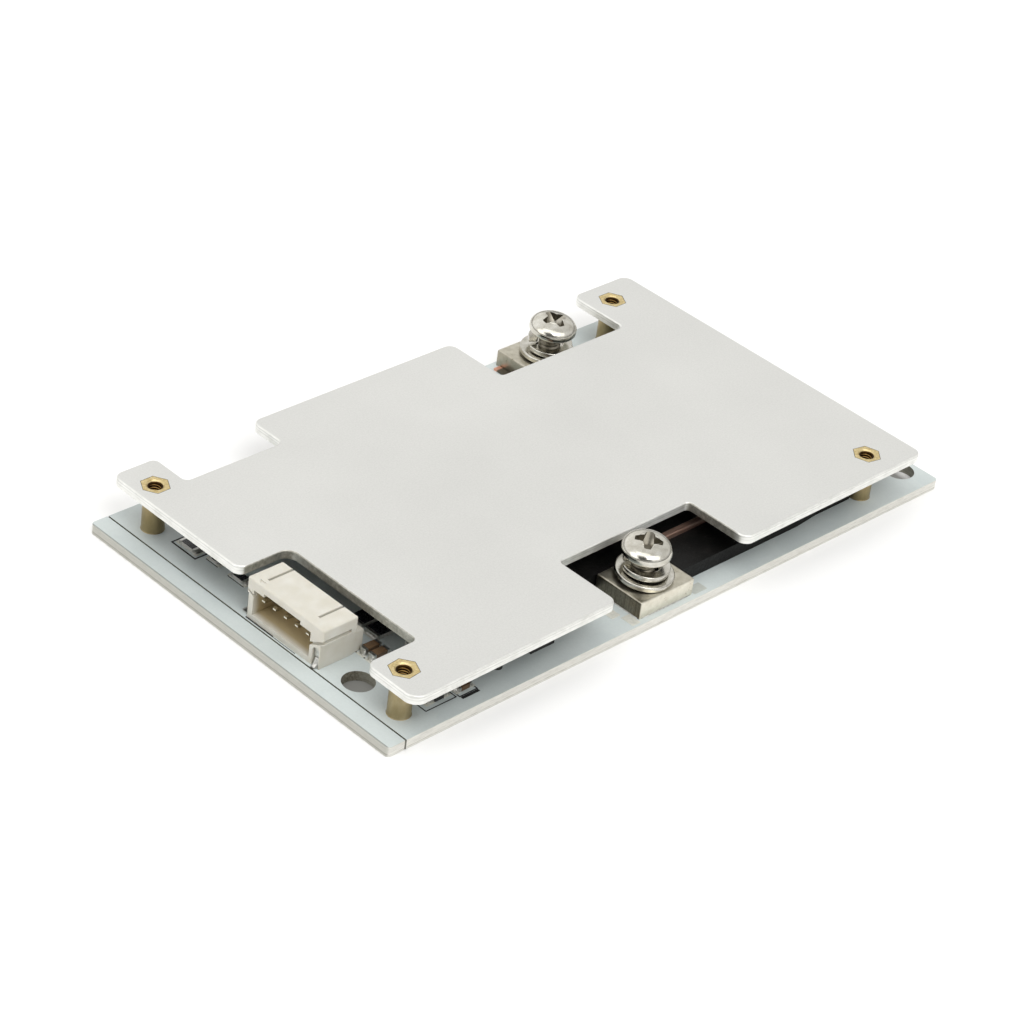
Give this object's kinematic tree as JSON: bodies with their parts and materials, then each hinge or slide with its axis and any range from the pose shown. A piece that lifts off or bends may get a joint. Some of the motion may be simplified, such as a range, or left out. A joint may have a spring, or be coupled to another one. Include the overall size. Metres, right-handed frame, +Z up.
{
  "type": "battery management board",
  "caption": "Battery protection circuit board under a flat aluminium heat spreader on brass standoffs, with screw terminals and a side-entry cell tap connector.",
  "frame": {"origin": "bottom centre of the board's bounding box, on the underside of the board", "axes": "+X along the board's long side away from the snap-off strip, +Y towards the load terminal side, +Z up through the heat spreader"},
  "size_m": [0.1244, 0.0701, 0.0121],
  "materials": {
    "board_laminate": "white solder mask, satin",
    "spreader_aluminium": "bead-blasted, satin",
    "standoff_brass": "bright turned brass",
    "terminal_nickel": "nickel plated, satin",
    "screw_steel": "nickel plated, bright",
    "washer_steel": "nickel plated, bright",
    "connector_nylon": "moulded ivory nylon",
    "tinned_metal": "tin plated",
    "copper_bar": "bare copper, slightly dull",
    "black_potting": "black satin compound",
    "thermal_pad": "black soft pad",
    "black_mould": "moulded epoxy",
    "chip_black": "glazed resistor coat",
    "chip_brown": "fired ceramic"
  },
  "bodies": {
    "root": {"circuit_board": "board_laminate", "heat_spreader_plate": "spreader_aluminium", "standoffs": "standoff_brass", "battery_terminal_block": "terminal_nickel", "load_terminal_block": "terminal_nickel", "battery_terminal_screw": "screw_steel", "load_terminal_screw": "screw_steel", "battery_flat_washer": "washer_steel", "load_flat_washer": "washer_steel", "battery_spring_washer": "washer_steel", "load_spring_washer": "washer_steel", "connector_housing": "connector_nylon", "connector_pins": "tinned_metal", "connector_solder_tabs": "tinned_metal", "discharge_mosfets": "black_mould", "charge_mosfets": "black_mould", "mosfet_leads": "tinned_metal", "mosfet_potting_front": "black_potting", "mosfet_potting_rear": "black_potting", "thermal_pad_front": "thermal_pad", "thermal_pad_rear": "thermal_pad", "front_busbar": "copper_bar", "rear_busbar": "copper_bar", "current_shunts": "tinned_metal", "protection_ic": "black_mould", "protection_ic_leads": "tinned_metal", "balance_resistors": "chip_black", "chip_resistors": "chip_black", "chip_capacitors": "chip_brown", "chip_end_caps": "tinned_metal", "small_transistors": "black_mould", "small_transistor_leads": "tinned_metal", "blocking_diode": "black_mould", "diode_leads": "tinned_metal", "temperature_sensor": "black_mould"}
  },
  "joints": []
}
